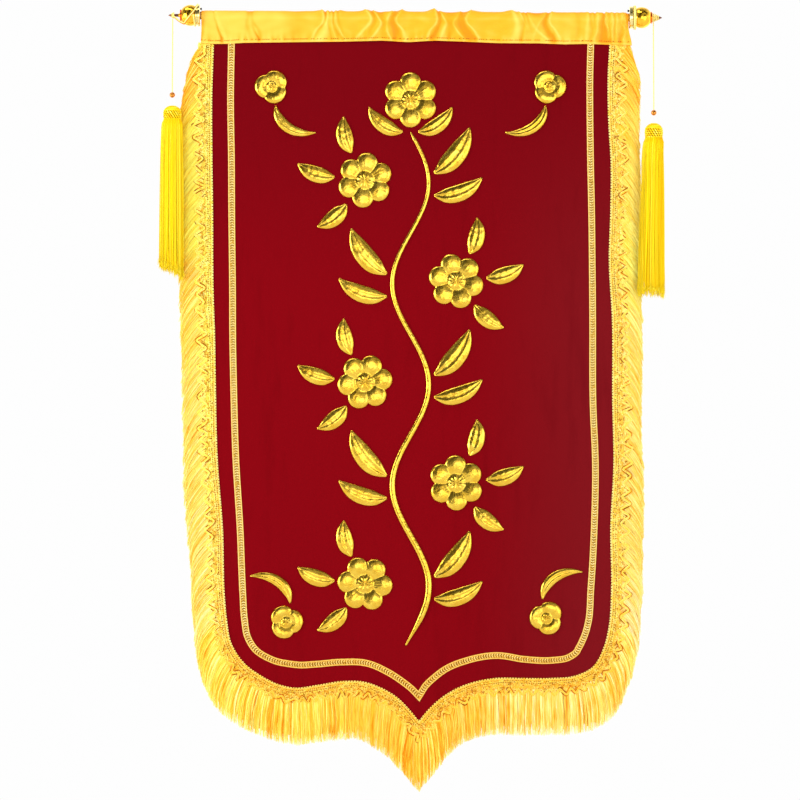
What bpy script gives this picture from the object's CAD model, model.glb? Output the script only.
import math

import bpy
import numpy as np
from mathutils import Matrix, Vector


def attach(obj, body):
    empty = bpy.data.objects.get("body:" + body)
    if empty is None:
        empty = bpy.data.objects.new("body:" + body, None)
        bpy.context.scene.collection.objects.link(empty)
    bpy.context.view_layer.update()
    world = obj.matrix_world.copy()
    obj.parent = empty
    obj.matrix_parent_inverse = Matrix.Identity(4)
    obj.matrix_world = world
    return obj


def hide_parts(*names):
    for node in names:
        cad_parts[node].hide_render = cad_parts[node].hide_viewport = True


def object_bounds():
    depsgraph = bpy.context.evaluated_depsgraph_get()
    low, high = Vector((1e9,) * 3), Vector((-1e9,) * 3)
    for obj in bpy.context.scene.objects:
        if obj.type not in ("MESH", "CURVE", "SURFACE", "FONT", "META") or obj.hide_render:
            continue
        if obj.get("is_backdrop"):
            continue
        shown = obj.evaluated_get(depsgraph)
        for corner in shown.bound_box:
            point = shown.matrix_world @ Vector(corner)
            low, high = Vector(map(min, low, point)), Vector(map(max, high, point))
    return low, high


# Embroidered pennant on its rod. Metres, +Z up, the front faces -Y, the origin is the middle of the rod.
# A place on the cloth is x and drop, the distance below the rod's middle, both in millimetres.
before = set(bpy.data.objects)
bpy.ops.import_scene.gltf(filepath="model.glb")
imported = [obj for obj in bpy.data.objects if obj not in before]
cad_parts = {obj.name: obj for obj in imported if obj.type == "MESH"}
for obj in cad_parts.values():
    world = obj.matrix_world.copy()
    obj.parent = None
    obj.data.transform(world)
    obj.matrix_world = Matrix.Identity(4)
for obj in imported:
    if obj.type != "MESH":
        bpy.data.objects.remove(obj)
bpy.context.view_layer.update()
mm = 0.001
fullTurn = 2 * math.pi
print("frame loaded:", len(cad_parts), "nodes")


# Camera

shot = {"x": -0.02305, "z": -0.5892, "distance": 6.0, "width": 1.2292, "sensor": 36.0}


def addObject(name, data):
    thing = bpy.data.objects.new(name, data)
    bpy.context.scene.collection.objects.link(thing)
    return thing


camera = addObject("pennantCamera", bpy.data.cameras.new("pennantCamera"))
camera.data.sensor_width = shot["sensor"]
camera.data.lens = shot["sensor"] * shot["distance"] / shot["width"]
camera.location = (shot["x"], -shot["distance"], shot["z"])
camera.rotation_euler = (math.pi / 2, 0, 0)
bpy.context.scene.camera = camera
bpy.context.scene.view_settings.view_transform = "Standard"
print("camera set")


# Small helpers

def paint(red, green, blue):  # a screen colour, 0 to 255, as the linear colour that a shader takes
    parts = np.array([red, green, blue], float) / 255
    return np.where(parts > 0.04045, ((parts + 0.055) / 1.055) ** 2.4, parts / 12.92)


def paints(*colours):
    return [paint(*colour) for colour in colours]


def ease(t):
    t = np.clip(t, 0.0, 1.0)
    return t * t * (3 - 2 * t)


def bell(t):
    return np.exp(-t**2)


def unitRange(values):
    return np.clip(values, 0, 1)


def through(x, places, values):  # a smooth curve through the values
    places, values = np.asarray(places, float), np.asarray(values, float)
    slope = np.gradient(values, places)
    i = np.clip(np.searchsorted(places, x, side="right") - 1, 0, len(places) - 2)
    run = places[i + 1] - places[i]
    t = unitRange((x - places[i]) / run)
    return ((2 * t**3 - 3 * t**2 + 1) * values[i] + (t**3 - 2 * t**2 + t) * run * slope[i]
            + (3 * t**2 - 2 * t**3) * values[i + 1] + (t**3 - t**2) * run * slope[i + 1])


def rampOf(tones, stops):  # colours between linear stops that are spread evenly from 0 to 1
    at = np.linspace(0, 1, len(stops))
    return np.stack([np.interp(tones, at, channel) for channel in np.transpose(stops)], -1)


def runLength(path):
    return np.concatenate([[0], np.cumsum(np.linalg.norm(np.diff(path, axis=0), axis=1))])


def lookUp(rows, places, at):
    return np.column_stack([np.interp(at, places, column) for column in rows.T])


def inPoints(path, count):
    length = runLength(path)
    return lookUp(path, length, np.linspace(0, length[-1], count))


def evenly(path, step):  # the path's points about every step, both ends kept
    return inPoints(path, max(2, round(runLength(path)[-1] / step) + 1))


# through rows whose first columns are the axes, every millimetre or so
def smoothCurve(rows, axes, count=None):
    points = np.array(rows, float)
    chord = runLength(points[:, :axes])
    wanted = np.linspace(0, chord[-1], count or round(chord[-1]) + 1)
    return np.column_stack([through(wanted, chord, column) for column in points.T])


def unit(way):
    return way / (np.linalg.norm(way, axis=-1, keepdims=True) + 1e-12)


def leftOf(way):
    return np.stack([-way[..., 1], way[..., 0]], -1)


def headings(path):  # along the path, and to its left
    along = unit(np.gradient(path, axis=-2))
    return along, leftOf(along)


def drifting(draw, low, high, at, stop, step):  # a random value that changes slowly from knot to knot
    knots = np.arange(0, stop, step)
    return np.interp(at, knots, draw(low, high, len(knots)))


def quads(a, b, c, d):
    return np.stack([a, b, c, d], -1).reshape(-1, 4)


def gridOf(*shape):
    return np.arange(math.prod(shape)).reshape(shape)


def ringWalls(index):
    after = np.roll(index, -1, axis=-1)
    return quads(index[..., :-1, :], index[..., 1:, :], after[..., 1:, :], after[..., :-1, :])


def gridFaces(index):
    return quads(index[:-1, :-1], index[1:, :-1], index[1:, 1:], index[:-1, 1:])


# A form is verts, groups of faces, and tints or None

# two grids, rows down and columns right, joined at the rims
def closedSheet(front, back, tint=None, backTint=None):
    index = gridOf(*front.shape[:2])
    rim = np.concatenate([index[0, :-1], index[:-1, -1], index[-1, :0:-1], index[:0:-1, 0]])
    after, face = np.roll(rim, -1), gridFaces(index)
    faces = [face, face[:, ::-1] + index.size, quads(rim, after, after + index.size, rim + index.size)]
    if tint is not None:
        sides = (tint, tint if backTint is None else backTint)
        tint = np.concatenate([np.broadcast_to(side, front.shape).reshape(-1, 3) for side in sides])
    return np.concatenate([front.reshape(-1, 3), back.reshape(-1, 3)]), faces, tint


def tubes(paths, radii, sides, turn=0.0, tints=None):
    # Paths is tube by station by point, radii and turn fit tube by station, and radii may go on by side.
    # Tints are one colour, one for each tube, or tube by station.
    count, stations = paths.shape[:2]
    along = unit(np.gradient(paths, axis=1))
    aside = unit(np.cross(along, (0.0, 1.0, 0.0)))
    up = np.cross(aside, along)
    angle = np.broadcast_to(turn, (count, stations))[..., None] + np.arange(sides) * fullTurn / sides
    reach = radii if np.ndim(radii) == 3 else np.broadcast_to(radii, (count, stations))[..., None]
    ring = (paths[:, :, None] + aside[:, :, None] * (reach * np.cos(angle))[..., None]
            + up[:, :, None] * (reach * np.sin(angle))[..., None])
    index = gridOf(count, stations, sides)
    if tints is not None:
        tints = np.reshape(tints, (count if np.ndim(tints) > 1 else 1, -1, 1, 3))
        tints = np.broadcast_to(tints, ring.shape).reshape(-1, 3)
    return ring.reshape(-1, 3), [ringWalls(index), index[:, 0], index[:, -1, ::-1]], tints


def joined(parts):
    verts, faces, tints, start = [], [], [], 0
    for points, groups, colours in parts:
        verts.append(points)
        faces += [group + start for group in groups]
        tints.append(colours)
        start += len(points)
    return np.concatenate(verts), faces, np.concatenate(tints)


def insideOut(verts, faces):
    volume = 0.0
    for group in faces:
        for k in range(1, group.shape[1] - 1):
            a, b, c = (verts[group[:, i]] for i in (0, k, k + 1))
            volume += (a * np.cross(b, c)).sum()
    return volume < 0


def addPiece(name, form, finish, node=None, smooth=True, sharp=None):
    verts, faces, tints = form
    if insideOut(verts, faces):
        faces = [group[:, ::-1] for group in faces]
    mesh = bpy.data.meshes.new(name)
    mesh.from_pydata(verts.tolist(), [], [face for group in faces for face in group.tolist()])
    if tints is not None:
        layer = mesh.color_attributes.new("tint", "FLOAT_COLOR", "POINT")
        layer.data.foreach_set("color", np.column_stack([tints, np.ones(len(tints))]).ravel())
    for each in finish if isinstance(finish, list) else [finish]:
        mesh.materials.append(each)
    if smooth:
        mesh.shade_smooth()
    if sharp:
        mesh.set_sharp_from_angle(angle=math.radians(sharp))
    piece = addObject(name, mesh)
    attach(piece, "root")
    if node:
        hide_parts(node)
    return piece


# Finishes

def addNode(owner, kind, inputs=None, **settings):  # inputs are constants or other nodes' outputs
    node = owner.node_tree.nodes.new(kind)
    for key, value in settings.items():
        setattr(node, key, value)
    for socket, value in (inputs or {}).items():
        target = node.inputs[socket]
        if isinstance(value, bpy.types.NodeSocket):
            owner.node_tree.links.new(value, target)
        else:
            target.default_value = (*value, 1) if target.type == "RGBA" and len(value) == 3 else value
    return node.outputs


def newFinish(name, colour, rough, **sockets):
    finish = bpy.data.materials.new(name)
    finish.use_nodes = True
    finish.diffuse_color = (*colour, 1)
    for socket, value in {"Base_Color": (*colour, 1), "Roughness": rough, **sockets}.items():
        finish.node_tree.nodes["Principled BSDF"].inputs[socket.replace("_", " ")].default_value = value
    return finish


def feed(finish, source, socket="Base Color"):
    finish.node_tree.links.new(source, finish.node_tree.nodes["Principled BSDF"].inputs[socket])


def objectPlaces(finish, stretch=(1, 1, 1)):
    own = addNode(finish, "ShaderNodeTexCoord")["Object"]
    return addNode(finish, "ShaderNodeMapping", {"Vector": own, "Scale": stretch})["Vector"]


def addNoise(finish, scale, detail=3.0, rough=0.55, stretch=(1, 1, 1)):
    return addNode(finish, "ShaderNodeTexNoise", {"Vector": objectPlaces(finish, stretch), "Scale": scale,
                                                  "Detail": detail, "Roughness": rough})["Fac"]


def addWave(finish, scale, direction, distortion):
    return addNode(finish, "ShaderNodeTexWave",
                   {"Vector": objectPlaces(finish), "Scale": scale, "Distortion": distortion},
                   wave_type="BANDS", bands_direction=direction)["Fac"]


def spread(finish, source, low, high):  # a 0 to 1 pattern as low to high
    return addNode(finish, "ShaderNodeMapRange", {"Value": source, "To Min": low, "To Max": high})["Result"]


def addUp(finish, first, second):
    return addNode(finish, "ShaderNodeMath", {0: first, 1: second}, operation="ADD")[0]


def raiseBy(finish, height, distance, strength):
    bump = addNode(finish, "ShaderNodeBump",
                   {"Height": height, "Distance": distance, "Strength": strength})
    feed(finish, bump["Normal"], "Normal")


def blendOf(finish, factor, first, second, how="MIX"):  # first and second are colours or outputs
    return addNode(finish, "ShaderNodeMix", {0: factor, 6: first, 7: second},
                   data_type="RGBA", blend_type=how)[2]


def mottled(finish, pattern, low, high, first, second, how="MIX"):
    mix = blendOf(finish, spread(finish, pattern, low, high), first, second, how)
    feed(finish, mix)
    return mix


def tintOf(finish):
    return addNode(finish, "ShaderNodeAttribute", attribute_name="tint")["Color"]


def silkThread(name, colour, rough, sheen):
    finish = newFinish(name, colour, rough, Sheen_Weight=sheen, Sheen_Roughness=0.4,
                       Specular_IOR_Level=0.05)
    strands = addNoise(finish, 900, 2, 0.5, (1, 1, 0.35))
    mottled(finish, strands, 0, 0.22, tintOf(finish), (1.0, 0.8, 0.45), "MULTIPLY")
    feed(finish, spread(finish, strands, rough - 0.1, rough + 0.12), "Roughness")
    raiseBy(finish, addNoise(finish, 1500, 2), 0.0002, 0.15)
    return finish


def platedMetal(name, colour, rough):
    finish = newFinish(name, colour, rough, Metallic=1.0)
    smudge = addNoise(finish, 160, 3, 0.6)
    mottled(finish, smudge, 0, 0.3, colour, colour * 0.82)
    feed(finish, spread(finish, smudge, rough * 0.6, rough * 1.6), "Roughness")
    raiseBy(finish, smudge, 0.00015, 0.2)
    return finish


velvetPile = newFinish("velvetPile", paint(106, 2, 11), 0.92, Sheen_Weight=0.05, Sheen_Roughness=0.35,
                       Sheen_Tint=(*paint(220, 24, 40), 1), Specular_IOR_Level=0.04)
napLie = addUp(velvetPile, addNoise(velvetPile, 5, 4, 0.6, (1, 1, 0.45)),
               addNoise(velvetPile, 60, 3, 0.6, (1, 1, 0.15)))
pileGrain = addNoise(velvetPile, 1100, 2, 0.7)
napColour = mottled(velvetPile, napLie, -0.9, 1.1, *paints((101, 1, 9), (114, 2, 13)))
napColour = mottled(velvetPile, pileGrain, 0, 0.36, napColour, paint(84, 1, 7))
feed(velvetPile, blendOf(velvetPile, 1.0, napColour, tintOf(velvetPile), "MULTIPLY"))
raiseBy(velvetPile, addUp(velvetPile, pileGrain, napLie), 0.0008, 0.5)

velvetLining = newFinish("velvetLining", paint(150, 16, 26), 0.8, Sheen_Weight=0.1)
liningWeave = addUp(velvetLining, *(addWave(velvetLining, 420, way, 0.4) for way in "XZ"))
mottled(velvetLining, liningWeave, -0.3, 0.6, *paints((126, 9, 20), (166, 26, 34)))
raiseBy(velvetLining, liningWeave, 0.0003, 0.5)

goldSatin = newFinish("goldSatin", paint(253, 207, 59), 0.34, Specular_IOR_Level=0.17)
satinRibs = addNoise(goldSatin, 260, 3, 0.6, (0.12, 1, 1))
satinCrush = addNoise(goldSatin, 70, 3, 0.5, (1.6, 1, 0.5))
mottled(goldSatin, satinRibs, 0, 0.2, tintOf(goldSatin), paint(250, 170, 20))
feed(goldSatin, spread(goldSatin, satinCrush, 0.26, 0.42), "Roughness")
raiseBy(goldSatin, addUp(goldSatin, satinRibs, satinCrush), 0.0012, 0.4)

fringeSilk = silkThread("fringeSilk", paint(252, 222, 90), 0.5, 0.0)
gimpSilk = silkThread("gimpSilk", paint(246, 221, 95), 0.5, 0.0)
tasselSilk = silkThread("tasselSilk", paint(252, 222, 38), 0.5, 0.0)
braidSatin = silkThread("braidSatin", paint(227, 188, 93), 0.4, 0.05)
stitchThread = silkThread("stitchThread", paint(190, 122, 30), 0.6, 0.0)

goldFoil = newFinish("goldFoil", paint(226, 188, 62), 0.16, Metallic=1.0)
foilCrinkle = addNoise(goldFoil, 95, 4, 0.5)
foilStretch = addNoise(goldFoil, 420, 2, 0.5, (1, 1, 0.5))
mottled(goldFoil, foilCrinkle, -0.2, 1.0, *paints((214, 162, 34), (244, 216, 92)))
feed(goldFoil, spread(goldFoil, foilStretch, 0.1, 0.28), "Roughness")
raiseBy(goldFoil, addUp(goldFoil, foilCrinkle, spread(goldFoil, foilStretch, 0, 0.12)), 0.0016, 0.5)

beadPlate = platedMetal("beadPlate", paint(214, 138, 60), 0.06)
goldPlate = platedMetal("goldPlate", paint(252, 196, 56), 0.05)
palePlate = platedMetal("palePlate", paint(240, 222, 150), 0.08)
amberPlate = platedMetal("amberPlate", paint(238, 110, 24), 0.2)
bronzeTip = platedMetal("bronzeTip", paint(132, 84, 60), 0.3)
blackScrew = platedMetal("blackScrew", paint(34, 28, 26), 0.35)

rodWood = newFinish("rodWood", paint(190, 142, 92), 0.6)
woodGrain = addNoise(rodWood, 130, 5, 0.6, (0.05, 1, 1))
feed(rodWood, blendOf(rodWood, woodGrain, *paints((150, 102, 58), (214, 172, 120))))
raiseBy(rodWood, woodGrain, 0.0006, 0.5)

clearLoop = newFinish("clearLoop", paint(246, 248, 250), 0.08, IOR=1.49, Transmission_Weight=0.9)
feed(clearLoop, spread(clearLoop, addNoise(clearLoop, 900, 2), 0.04, 0.14), "Roughness")
print("finishes made")


# How the ground hangs

waves = ((3.6, 350, 2600, 0.6), (1.5, 235, -1700, 2.1))  # height, length, slant and phase
rodTilt = -0.0051
hemLine = ((-330, 39.4), (-325, 41.2), (-308, 42.4), (-288, 42.2), (-262, 40.6), (-150, 39.2),
           (-100, 38.6), (-50, 37.2), (-10, 39.6), (30, 37.2), (85, 39.2), (130, 41.2), (190, 41.4),
           (230, 43), (262, 42.3), (300, 43.6), (333, 44.6))

# The ground's edge from the sleeve down to the point: x, drop, distance in to the braid's middle, and where
# a strand of the fringe ends, from its root
leftEdge = (
    (-311, 43, 29, -14, 50), (-313.6, 130, 30.3, -25, 56), (-313.2, 220, 31.2, -25, 56),
    (-312.3, 300, 30.7, -25, 56), (-311.5, 420, 31.2, -23, 56), (-309, 500, 29.1, -23, 57),
    (-308, 565, 29.4, -22, 57), (-305, 680, 29.9, -23, 57), (-296.8, 790, 28.4, -22, 57),
    (-294, 890, 29.8, -19, 58), (-290.5, 928, 28.8, -17.5, 60), (-284, 962, 28.5, -13, 62),
    (-264.5, 993, 28.5, -12, 60), (-236, 1014.5, 31.3, -7, 59.5), (-210, 1027.5, 36, -2, 58.5),
    (-184, 1033, 37.2, 0, 58.5), (-150, 1029, 34, 0, 60), (-110, 1023.2, 31.2, 0, 61),
    (-80, 1024, 30.7, 0, 61), (-54, 1032.5, 28, 0, 66), (-26, 1049.5, 26.2, 0, 67.5),
    (-9, 1067, 28.6, 0, 67), (6, 1085, 40.8, 0, 65),
)
rightEdge = (
    (300.5, 45.5, 30.6, 20, 48), (298, 92, 29.3, 21.5, 51), (298.8, 160, 30, 21, 54),
    (302.5, 225, 32.8, 19, 54), (302, 300, 30.7, 20.5, 55), (299.8, 372, 27.6, 23, 55),
    (304.8, 470, 31.8, 18.5, 54), (305.2, 590, 31.7, 17, 54), (307, 690, 29.7, 18.5, 52),
    (302.3, 785, 26.8, 21, 52), (303.5, 880, 33.2, 17, 54), (299.8, 937, 34.1, 12.5, 53),
    (292.5, 968, 36, 9, 56), (274, 1001, 36.5, 7, 61), (247, 1014.5, 32, 4, 60), (210, 1018.2, 29, 1, 59),
    (165, 1018.2, 31, 0, 59), (125, 1018, 36.5, 0, 59), (90, 1024.2, 36.5, 0, 57.5),
    (64, 1034, 36, 0, 57.5), (44, 1046, 32.8, 0, 59.5), (23, 1064.5, 30.4, 0, 62.5),
    (6, 1085, 40.8, 0, 65),
)
bothEdges = ((smoothCurve(leftEdge, 2), -1), (smoothCurve(rightEdge, 2), 1))


def rodHeight(x):
    return rodTilt * x


def hemDrop(x):
    return np.interp(x, *np.transpose(hemLine))


def clothDepth(x, drop):
    depth = sum(height * np.sin(fullTurn * (x / length + drop / slant) + phase)
                for height, length, slant, phase in waves)
    return ease((drop - 45) / 700) * depth


def onCloth(place, lift):  # the point that stands this far in front of the ground's middle, in metres
    x, drop = place[..., 0], place[..., 1]
    return np.stack(np.broadcast_arrays(x, clothDepth(x, drop) - lift, -drop), -1) * mm


def belowHem(place):  # 0 up inside the sleeve, 1 from a few millimetres below its hem
    return ease((place[..., 1] - hemDrop(place[..., 0]) + 1.2) / 6)


def outward(edge, side):
    return -side * headings(edge[:, :2])[1]


def halfPath(edge, side, distance, pointDrop=None):
    beside = edge[:, :2] + outward(edge, side) * distance
    tip = edge[-1, :2] + np.array([0, 1.5 * distance if pointDrop is None else pointDrop])
    room = 2.0 if distance < 0 else 0.4
    return np.vstack([beside[side * (beside[:, 0] - tip[0]) > room], tip])


# down the left and up the right, this far outside the edge, with its headings
def aroundEdge(distance, step):
    left, right = (halfPath(edge, side, distance) for edge, side in bothEdges)
    above = np.array([0, 2.4])
    path = evenly(np.vstack([left[:1] - above, left, right[-2::-1], right[:1] - above]), step)
    return path, *headings(path)


# The ground

ground = {"halfThick": 0.8, "top": 29.0, "underTrim": 19.0, "columns": 48, "rows": 72, "cornerDrop": 925.0}


def groundPlaces():
    sides, lows = [], []
    for edge, side in bothEdges:
        path = halfPath(edge, side, ground["underTrim"], ground["underTrim"] * math.sqrt(2))
        path[0, 1] = ground["top"]
        path[:, 0] = np.where(path[:, 1] < 50, np.clip(path[:, 0], -324, 324), path[:, 0])
        corner = int(np.argmax(path[:, 1] > ground["cornerDrop"]))
        sides.append(inPoints(path[: corner + 1], ground["rows"] + 1))
        lows.append(inPoints(path[corner:], ground["columns"] // 2 + 1))
    low = np.vstack([lows[0], lows[1][-2::-1]])
    left, right = sides
    u = np.linspace(0, 1, ground["columns"] + 1)[None, :, None]
    v = np.linspace(0, 1, ground["rows"] + 1)[:, None, None]
    top = (1 - u) * left[0] + u * right[0]
    lower = (1 - u) * low[0] + u * low[-1]
    return ((1 - v) * top + v * low[None] + (1 - u) * left[:, None] + u * right[:, None]
            - (1 - v) * top - v * lower)


def groundForm():  # faintly rubbed, and paler low down and to the right
    place = groundPlaces()
    x, drop = place[..., 0], place[..., 1]
    rub = 0.25 * np.sin(x / 23 + 2 * np.sin(drop / 90)) * ease((drop - 60) / 120)
    lower, right = ease((drop - 60) / 420), ease((x - 60) / 260)
    dye = np.stack([1 + 0.27 * lower * (1 - 0.6 * ease((x + 60) / 340)), 1 + 8 * lower * right,
                    1 + 1.3 * lower * right], -1)
    front, back = (onCloth(place, way * ground["halfThick"] + rub) for way in (1, -1))
    return closedSheet(front, back, dye)


velvet = addPiece("velvetGround", groundForm(), [velvetPile, velvetLining], "velvet_panel")
oneSide = ground["columns"] * ground["rows"]
facing = np.zeros(len(velvet.data.polygons), int)
facing[oneSide: 2 * oneSide] = 1
velvet.data.polygons.foreach_set("material_index", facing)


# Satin sleeve over the rod

sleeve = {"rod": 6.0, "ease": 0.6, "thick": 1.2, "ends": (-328.0, 328.0), "flare": (-1.0, 5.0),
          "columns": 430, "frontRows": 24, "topRows": 12, "backRows": 3, "collar": 17.2, "hemLift": 1.95}
softRidges = (  # where each runs at the rod, half way and at the hem, then its width and height
    (-302, -298, -288, 17, 2.0), (-268, -262, -262, 26, 1.6), (-182, -188, -198, 30, 1.8),
    (-120, -108, -118, 26, 2.4), (-62, -66, -88, 26, 3.2), (-20, -48, -72, 24, 3.0),
    (-74, -46, -22, 24, 2.2), (26, 22, 4, 24, 3.2), (74, 48, 30, 24, 2.8), (34, 50, 76, 24, 2.4),
    (96, 84, 96, 26, 3.0), (146, 156, 140, 26, 2.8), (190, 172, 150, 24, 2.2), (222, 232, 246, 28, 2.4),
    (262, 270, 266, 22, 2.6), (312, 304, 296, 24, 2.0),
)
foldHeights = (8.4, -0.8, -10.0, -20.7, -34.6)  # above the rod's middle
# Folds that are laid in by hand: x at each of those heights, half width at the top and the hem, and how
# strong it is at the top and the hem. The first list is troughs in shade and the second is pale crests.
troughs = (
    (-310, -308, -305, -302, -296, 1.1, 1.8, 0.2, 1), (-326, -326, -326, -326, -327, 2.3, 2.3, 0.3, 0.8),
    (-255, -256, -258, -256, -252, 2.5, 2.2, 0.4, 0.35),
    (-250, -250, -248, -240, -237, 1.8, 2.5, 0.35, 0.4),
    (-254, -251, -250, -247, -240, 1.1, 1.5, -0.6, 0.9),
    (-183, -184, -185, -183, -183, 8.5, 8.5, 0.3, 0.3), (-138, -137, -139, -148, -155, 1.4, 1.2, 1, 0.1),
    (-131, -132, -133, -131, -128, 1.2, 1.4, 0.45, 0.55),
    (-125, -125, -125, -122, -117, 1.1, 1.2, 0.55, 0.35),
    (-118, -118, -116, -112, -109, 1.5, 1.4, 0.45, 0.25),
    (-121, -121, -121, -120, -112, 1.1, 1.7, -0.6, 0.8), (-68, -62, -62, -69, -72, 3.1, 1.8, 0.85, 0.35),
    (-54, -51, -47, -48, -48, 4.6, 3.4, 0.7, 0.4), (-25, -33, -34, -30, -28, 3.4, 5.8, 1.2, 1.1),
    (35, 38, 38, 34, 26, 2.6, 3.4, 1, 0.95), (54, 54, 54, 55, 51, 9.2, 2.3, 0.6, 0.5),
    (79, 72, 71, 76, 89, 4.6, 6.9, 1.2, 1.25), (163, 167, 168, 166, 164, 1.5, 2.0, 0.4, 0.45),
    (169, 172, 175, 178, 181, 1.4, 1.1, 0.7, -0.1), (187, 187, 186, 186, 186, 8.5, 3.1, 0.9, -0.8),
    (206, 202, 199, 203, 213, 3.1, 4.9, 0.8, 1.05), (250, 250, 251, 252, 249, 3.1, 3.1, 0.25, 0.3),
    (269, 269, 270, 272, 269, 1.5, 1.5, 0.4, 0.4), (276, 276, 275, 275, 275, 1.1, 1.1, 0.8, -0.6),
    (291, 290, 289, 290, 289, 1.1, 6.5, 1.1, 1.2), (298, 298, 298, 299, 299, 1.2, 1.2, 0.35, 0.45),
    (307, 307, 307, 306, 304, 1.2, 1.2, 0.4, 0.45), (315, 314, 318, 318, 313, 1.5, 3.8, 0.1, 0.9),
    (327, 326, 327, 324, 323, 1.5, 1.8, 1, 0.3),
)
crests = (
    (-306, -303, -300, -295, -290, 1.8, 2.5, 0.2, 0.5),
    (-143, -140, -142, -152, -158, 1.8, 2.8, 0.8, 0.6),
    (-134, -133, -136, -138, -144, 1.4, 7.7, 0.9, 0.75),
    (-128, -128, -128, -126, -121, 1.2, 1.2, 0.4, 0.35),
    (-122, -122, -121, -116, -107, 1.4, 1.8, 0.5, 0.55), (-78, -68, -69, -79, -91, 1.8, 3.1, 0.8, 0.75),
    (-65, -57, -52, -57, -68, 1.2, 2.6, 0.85, 0.85), (-35, -40, -47, -52, -57, 1.1, 1.1, 0.8, -0.8),
    (-37, -41, -43, -43, -37, 1.7, 1.8, 0.3, 0.8), (-18, -28, -28, -19, -16, 1.4, 3.1, 0.7, 0.8),
    (29, 34, 33, 24, 19, 1.7, 2.8, 0.75, 0.8), (38, 43, 48, 44, 39, 1.2, 3.7, 0.75, 0.85),
    (71, 65, 59, 64, 75, 1.2, 2.3, 0.5, 0.8), (88, 79, 80, 90, 98, 1.4, 2.5, 0.7, 0.8),
    (148, 154, 157, 157, 154, 2.8, 6.1, 0.8, 0.7), (158, 164, 168, 174, 178, 1.1, 1.1, 0.8, -0.4),
    (203, 198, 191, 186, 181, 1.2, 1.5, 0.8, 0.1), (174, 175, 180, 187, 203, 1.5, 3.4, -0.1, 0.8),
    (212, 207, 207, 215, 223, 1.2, 2.5, 0.7, 0.7), (264, 266, 265, 264, 263, 2.5, 2.8, 0.5, 0.5),
    (280, 281, 280, 280, 275, 1.7, 2.2, 0.5, 0.5), (293, 293, 293, 297, 296, 1.2, 1.5, 0.7, 0.65),
    (302, 303, 304, 303, 301, 1.4, 1.5, 0.5, 0.5), (310, 310, 310, 309, 309, 1.2, 1.4, 0.4, 0.4),
    (320, 318, 317, 323, 317, 1.4, 1.5, 0.4, 0.6),
)
# puckers on the rod: x, half width, height
rolls = ((-144, 12, 2.0), (-115, 9, 2.2), (-72, 15, 3.6), (-23, 12, 4.4), (29, 13, 5.6), (85, 18, 3.4),
         (146, 13, 3.2), (210, 8, 1.0), (252, 16, 0.6), (295, 8, 0.8))
satinHues = paints((244, 142, 3), (247, 160, 8), (249, 174, 25), (255, 217, 101))  # from shade to light
satinPaler = ((-330, -205, -180, -60, 140, 160, 230, 280, 330),
              (0.5, 0.46, 0.18, 0.05, 0.05, 0.2, 0.2, 0.12, 0.2))


def foldShape(fold, x, z, widen=1.0):  # 0 to about 1 beside one fold
    down = unitRange((foldHeights[0] - z) / (foldHeights[0] - foldHeights[-1]))
    line = through(np.clip(z, foldHeights[-1], foldHeights[0]), foldHeights[::-1], fold[4::-1])
    half = (fold[5] + (fold[6] - fold[5]) * down) * widen
    strength = np.maximum(fold[7] + (fold[8] - fold[7]) * down, 0)
    return strength * np.exp(-np.abs((x - line) / half) ** 2.4)


def satinRelief(x, z, level, arch):  # how far the satin stands out, then how pale it is there, from -1 to 1
    broad = np.zeros_like(x)
    for top, middle, hem, width, height in softRidges:
        a = (hem + top - 2 * middle) * 2
        line = hem + (top - hem - a) * level + a * level * level
        broad += height * (1 - ease(np.abs(x - line) / width))
    relief = np.minimum(broad, 3.6) * ease(level * 4) * 0.55 * (1 - arch)
    fold = ease(level * 5 + 0.2) * (level > 0)
    pale = np.zeros_like(x)
    for folds, widen, rise, paler in ((crests, 1.0, 1.3, 0.95), (troughs, 1.3, -1.7, -1.0)):
        for each in folds:
            shape = foldShape(each, x, z, widen)
            relief += rise * shape * fold
            pale += paler * shape
    for at, half, height in rolls:
        relief += height * 0.8 * bell((x - at) / half * 1.5) * arch
    return relief, np.clip(pale, -1, 1)


# y, z, outward y, outward z and level, for each row from the front hem over to the back
def sleeveRows(x, rise, low):
    radius = sleeve["rod"] + sleeve["ease"] + sleeve["thick"] / 2
    hem = sleeve["hemLift"]
    lean = np.arctan2(radius - hem, rise - low)
    under, beside = rise - radius * np.sin(lean), radius * np.cos(lean)
    rows = []
    for t in np.arange(sleeve["frontRows"]) / sleeve["frontRows"]:
        rows.append((-hem + (hem - beside) * t, low + (under - low) * t, -np.cos(lean), -np.sin(lean),
                     t + 0 * x))
    for t in np.arange(sleeve["topRows"] + 1) / sleeve["topRows"]:
        turn = math.pi + lean - (math.pi + 2 * lean) * t
        rows.append((radius * np.cos(turn), rise + radius * np.sin(turn), np.cos(turn), np.sin(turn),
                     1 - max(0, t - 0.5) * 2 + 0 * x))
    for t in np.arange(1, sleeve["backRows"] + 1) / sleeve["backRows"]:
        rows.append((beside + (hem - beside) * t, under + (low - under) * t, np.cos(lean), -np.sin(lean),
                     0 * x))
    return (np.array(column) for column in zip(*rows))


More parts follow.
